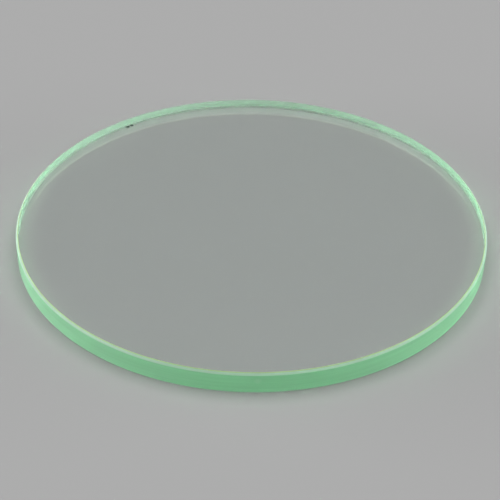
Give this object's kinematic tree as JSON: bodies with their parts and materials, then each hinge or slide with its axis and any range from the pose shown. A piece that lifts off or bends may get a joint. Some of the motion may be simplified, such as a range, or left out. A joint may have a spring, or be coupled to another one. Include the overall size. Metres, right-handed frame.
{
  "type": "watch crystal",
  "caption": "Flat round mineral-glass watch crystal with polished faces, a fine-ground green rim and a narrow bevel round each face.",
  "frame": {"origin": "centre of the underside, the flat face that goes down into the case", "axes": "+Z out of the watch through the glass, along its axis of symmetry; X and Y are free, because the disc is round"},
  "size_m": [0.03, 0.03, 0.0015],
  "materials": {
    "mineral_glass": "clear fire-polished faces, fine-ground satin rim and bevels, pale green through the edge"
  },
  "bodies": {
    "root": {"crystal": "mineral_glass"}
  },
  "joints": []
}
